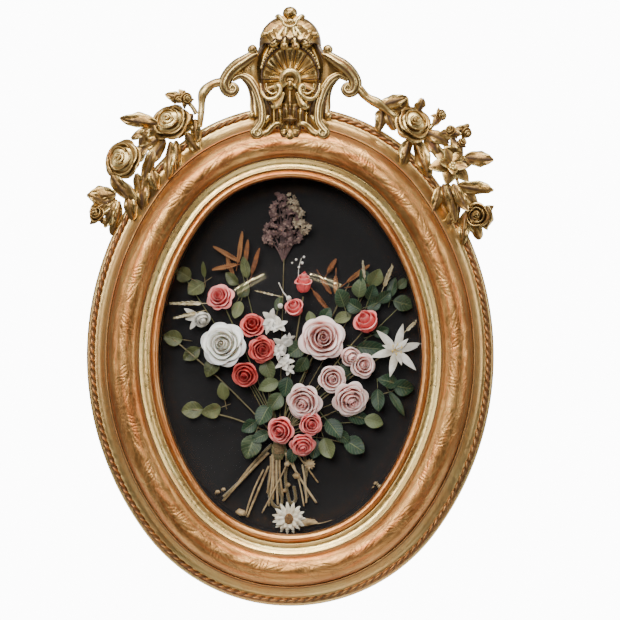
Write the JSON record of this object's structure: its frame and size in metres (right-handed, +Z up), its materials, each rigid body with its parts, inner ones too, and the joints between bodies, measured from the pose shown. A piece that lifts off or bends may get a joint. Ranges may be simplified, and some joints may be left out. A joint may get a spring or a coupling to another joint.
{
  "type": "oval domed glass wall frame",
  "caption": "Oval gilt wall frame with convex glass over a bouquet of wax roses, with a shell crest, rose garlands, box back, turn buttons and hanging ring.",
  "frame": {"origin": "centre of the hanging ring, which is up as when hung", "axes": "+Z up along the oval's long axis, -Y out of the front of the glass, +X to the viewer's right"},
  "size_m": [0.48, 0.108, 0.703],
  "materials": {
    "gilt_frame": "gold leaf over red bole, worn and toned",
    "gilt_slip": "bright water gilding, crazed and worn",
    "gilt_ornament": "oil gilt composition, dusty in the hollows",
    "dome_glass": "clear blown glass, polished",
    "velvet": "black velvet, dusty",
    "rim_wood": "old steam-bent poplar, unfinished",
    "board_wood": "old pine boards, dry and unfinished",
    "oak": "oak, unfinished",
    "lining_paper": "black lining paper",
    "iron": "dark wrought iron, light rust",
    "brass": "dull aged brass",
    "steel": "aged steel",
    "wax_white": "ivory wax, soft sheen",
    "wax_blush": "pale pink wax",
    "wax_red": "deep red waxed cloth",
    "wax_coral": "coral wax",
    "leaf_green": "waxed cotton leaves, olive and green",
    "stem_green": "paper-wrapped wire",
    "dried": "dried flower heads and seeds",
    "fern": "dried fern, rust orange",
    "chenille": "gold chenille cord",
    "straw": "straw"
  },
  "bodies": {
    "frame": {"frame_top": "gilt_frame", "frame_bottom": "gilt_frame", "frame_left": "gilt_frame", "frame_right": "gilt_frame", "joint_splines": "oak", "rope_edge": "gilt_frame", "sight_slip": "gilt_slip", "glass_dome": "dome_glass", "glass_packing": "oak", "box_rim": "rim_wood", "box_lining": "lining_paper", "velvet_ground": "velvet", "backboard_left": "board_wood", "backboard_middle": "board_wood", "backboard_right": "board_wood", "box_screws": "steel", "turn_button_screws": "brass", "hanger_plate": "iron", "hanger_screws": "iron", "crest_cartouche": "gilt_ornament", "crest_shell": "gilt_ornament", "crest_hood": "gilt_ornament", "crest_finial": "gilt_ornament", "crest_arm_left": "gilt_ornament", "crest_arm_right": "gilt_ornament", "crest_palmette": "gilt_ornament", "crest_screws": "steel", "garland_stem_left": "gilt_ornament", "garland_stem_right": "gilt_ornament", "gilt_rose_left_upper": "gilt_ornament", "gilt_rose_left_lower": "gilt_ornament", "gilt_rose_right": "gilt_ornament", "gilt_lily_right": "gilt_ornament", "gilt_leaves_left": "gilt_ornament", "gilt_leaves_right": "gilt_ornament", "gilt_buds_left": "gilt_ornament", "gilt_buds_right": "gilt_ornament", "rose_white": "wax_white", "rose_blush_large": "wax_blush", "blush_roses": "wax_blush", "red_roses": "wax_red", "coral_roses": "wax_coral", "rosebuds": "wax_blush", "lily": "wax_white", "bellflower": "wax_white", "jasmine": "wax_white", "rose_leaves": "leaf_green", "wire_stems": "stem_green", "stem_binding": "stem_green", "lace_ribbon": "chenille", "fern_fronds": "fern", "catkins": "dried", "dried_spray": "dried", "straw_daisy": "dried", "straw_and_seeds": "straw"},
    "hanging_ring": {"hanger_ring": "iron"},
    "button_1": {"turn_button_1": "brass"},
    "button_2": {"turn_button_2": "brass"},
    "button_3": {"turn_button_3": "brass"},
    "button_4": {"turn_button_4": "brass"}
  },
  "joints": [
    {"name": "ring_swing", "type": "hinge", "parent": "frame", "child": "hanging_ring", "pos_m": [0, 0, -0.015], "axis": [1, 0, 0], "range_deg": [-172, 0]},
    {"name": "turn_button_1_turn", "type": "hinge", "parent": "frame", "child": "button_1", "pos_m": [0.15286, -0.0027, -0.1371], "axis": [0, 1, 0], "range_deg": [0, 90]},
    {"name": "turn_button_2_turn", "type": "hinge", "parent": "frame", "child": "button_2", "pos_m": [0.15286, -0.0027, -0.3495], "axis": [0, 1, 0], "range_deg": [-90, 0]},
    {"name": "turn_button_3_turn", "type": "hinge", "parent": "frame", "child": "button_3", "pos_m": [-0.15286, -0.0027, -0.1371], "axis": [0, 1, 0], "range_deg": [-90, 0]},
    {"name": "turn_button_4_turn", "type": "hinge", "parent": "frame", "child": "button_4", "pos_m": [-0.15286, -0.0027, -0.3495], "axis": [0, 1, 0], "range_deg": [0, 90]}
  ]
}
